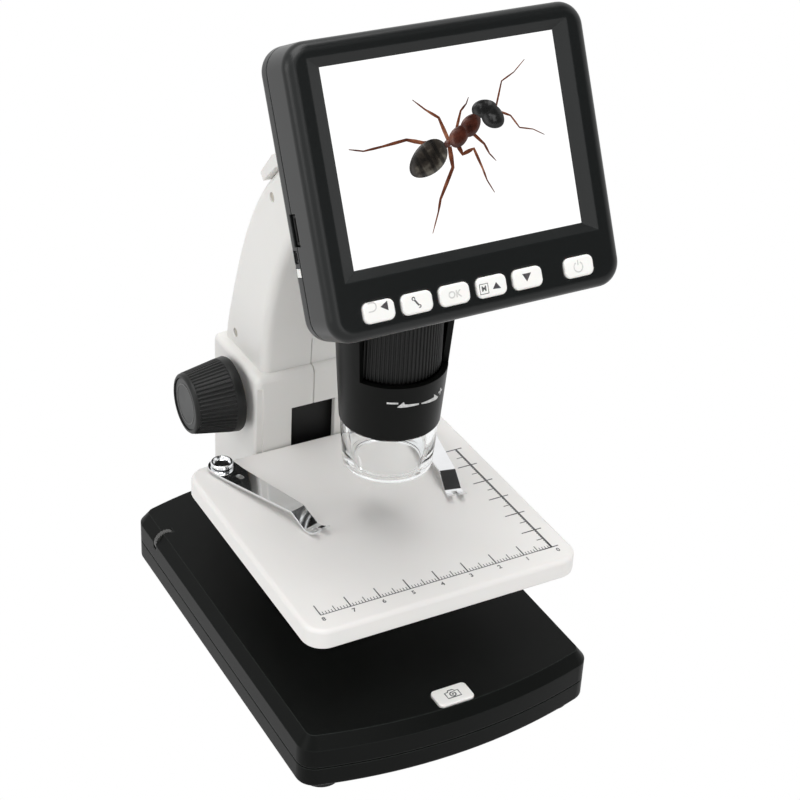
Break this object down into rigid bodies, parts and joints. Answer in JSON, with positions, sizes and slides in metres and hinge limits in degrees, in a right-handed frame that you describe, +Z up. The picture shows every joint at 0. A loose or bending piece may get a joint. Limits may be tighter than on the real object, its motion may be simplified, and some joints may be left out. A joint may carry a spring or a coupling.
{
  "type": "digital microscope",
  "caption": "Desktop digital microscope: tilting screen with keys over a camera tube, geared stage with clips, flat base.",
  "frame": {"origin": "on the table under the middle of the base", "axes": "+Z up, -Y towards the user and the screen's face, +X to the user's right"},
  "size_m": [0.1014, 0.147, 0.2263],
  "materials": {
    "black_case": "satin moulded plastic",
    "white_case": "satin white moulded plastic",
    "stage_white": "smooth white plastic with a printed rule",
    "black_tube": "fine matt black plastic",
    "knob_grey": "brushed grey disc",
    "rubber": "matt rubber",
    "steel": "turned steel",
    "chrome": "polished spring steel",
    "bronze": "sintered bronze",
    "inner_black": "matt black plastic",
    "circuit_board": "green board",
    "clear_plastic": "clear polished plastic",
    "glass": "clear glass",
    "display": "lit screen",
    "lamp_lens": "milky lens",
    "white_key": "white moulded key"
  },
  "bodies": {
    "stand": {"base_top_shell": "black_case", "base_bottom_shell": "black_case", "rubber_feet": "rubber", "base_screws": "steel", "battery_door": "black_case", "battery": "inner_black", "base_board": "circuit_board", "snapshot_switch": "inner_black", "brightness_dial_pin": "steel", "column_left_shell": "white_case", "column_right_shell": "white_case", "side_screws": "steel", "arm_cover": "white_case", "shaft_bushes": "bronze", "guide_rods": "steel", "guide_bridge": "steel", "camera_tube": "black_tube", "lens_barrel": "inner_black", "lenses": "glass", "lamp_board": "circuit_board", "white_lamps": "lamp_lens", "sensor_board": "circuit_board", "clear_cap": "clear_plastic"},
    "stage": {"stage_plate": "stage_white", "stage_screws": "steel", "stage_carriage": "inner_black", "focus_rack": "inner_black", "dust_shield": "inner_black", "clip_studs": "chrome"},
    "left_clip": {"clip_left": "chrome"},
    "right_clip": {"clip_right": "chrome"},
    "drive": {"focus_shaft": "steel", "pinion": "inner_black", "focus_knob_left": "black_tube", "focus_knob_right": "black_tube", "knob_disc_left": "knob_grey", "knob_disc_right": "knob_grey"},
    "ring": {"zoom_ring": "black_tube"},
    "screen": {"screen_bezel": "black_case", "screen_back": "black_case", "screen_screws": "steel", "hinge_pin": "steel", "screen_window": "glass", "display_panel": "display", "main_board": "circuit_board", "key_board": "circuit_board", "card_slot": "steel", "usb_port": "steel", "status_lamp": "lamp_lens"},
    "back_key": {"key_back": "white_key"},
    "setup_key": {"key_setup": "white_key"},
    "ok_key": {"key_ok": "white_key"},
    "mode_key": {"key_mode": "white_key"},
    "down_key": {"key_down": "white_key"},
    "power_key": {"key_power": "white_key"},
    "snapshot": {"snapshot_button": "white_key"},
    "brightness": {"brightness_wheel": "black_tube"}
  },
  "joints": [
    {"name": "stage_lift", "type": "slide", "parent": "stand", "child": "stage", "axis": [0, 0, 1], "range_m": [-0.008, 0.01]},
    {"name": "drive_turn", "type": "hinge", "parent": "stand", "child": "drive", "pos_m": [0, 0.0454, 0.0729], "axis": [1, 0, 0], "range_deg": [-121, 97]},
    {"name": "ring_turn", "type": "hinge", "parent": "stand", "child": "ring", "pos_m": [0, -0.01854, 0.129], "axis": [0, 0, 1], "range_deg": [-60, 60]},
    {"name": "screen_tilt", "type": "hinge", "parent": "stand", "child": "screen", "pos_m": [0, -0.03053, 0.17172], "axis": [-1, 0, 0], "range_deg": [-8, 20]},
    {"name": "left_clip_swivel", "type": "hinge", "parent": "stage", "child": "left_clip", "pos_m": [-0.0355, 0.0268, 0.058], "axis": [0, 0, 1], "range_deg": [-50, 20]},
    {"name": "right_clip_swivel", "type": "hinge", "parent": "stage", "child": "right_clip", "pos_m": [0.0355, 0.0268, 0.058], "axis": [0, 0, -1], "range_deg": [-50, 25]},
    {"name": "back_press", "type": "slide", "parent": "screen", "child": "back_key", "axis": [0, 0.8991, -0.4377], "range_m": [0, 0.0006], "stiffness_N_per_m": 400},
    {"name": "setup_press", "type": "slide", "parent": "screen", "child": "setup_key", "axis": [0, 0.8991, -0.4377], "range_m": [0, 0.0006], "stiffness_N_per_m": 400},
    {"name": "ok_press", "type": "slide", "parent": "screen", "child": "ok_key", "axis": [0, 0.8991, -0.4377], "range_m": [0, 0.0006], "stiffness_N_per_m": 400},
    {"name": "mode_press", "type": "slide", "parent": "screen", "child": "mode_key", "axis": [0, 0.8991, -0.4377], "range_m": [0, 0.0006], "stiffness_N_per_m": 400},
    {"name": "down_press", "type": "slide", "parent": "screen", "child": "down_key", "axis": [0, 0.8991, -0.4377], "range_m": [0, 0.0006], "stiffness_N_per_m": 400},
    {"name": "power_press", "type": "slide", "parent": "screen", "child": "power_key", "axis": [0, 0.8991, -0.4377], "range_m": [0, 0.0006], "stiffness_N_per_m": 400},
    {"name": "snapshot_press", "type": "slide", "parent": "stand", "child": "snapshot", "axis": [0, 0, -1], "range_m": [0, 0.0008], "stiffness_N_per_m": 400, "springref_m": -0.0002},
    {"name": "brightness_turn", "type": "hinge", "parent": "stand", "child": "brightness", "pos_m": [-0.04645, 0.049, 0.01718], "axis": [0, 1, 0], "range_deg": [-135, 135]}
  ],
  "couplings": [
    {"joint": "drive_turn", "follows": "stage_lift", "rad_per_m": -208.33}
  ]
}
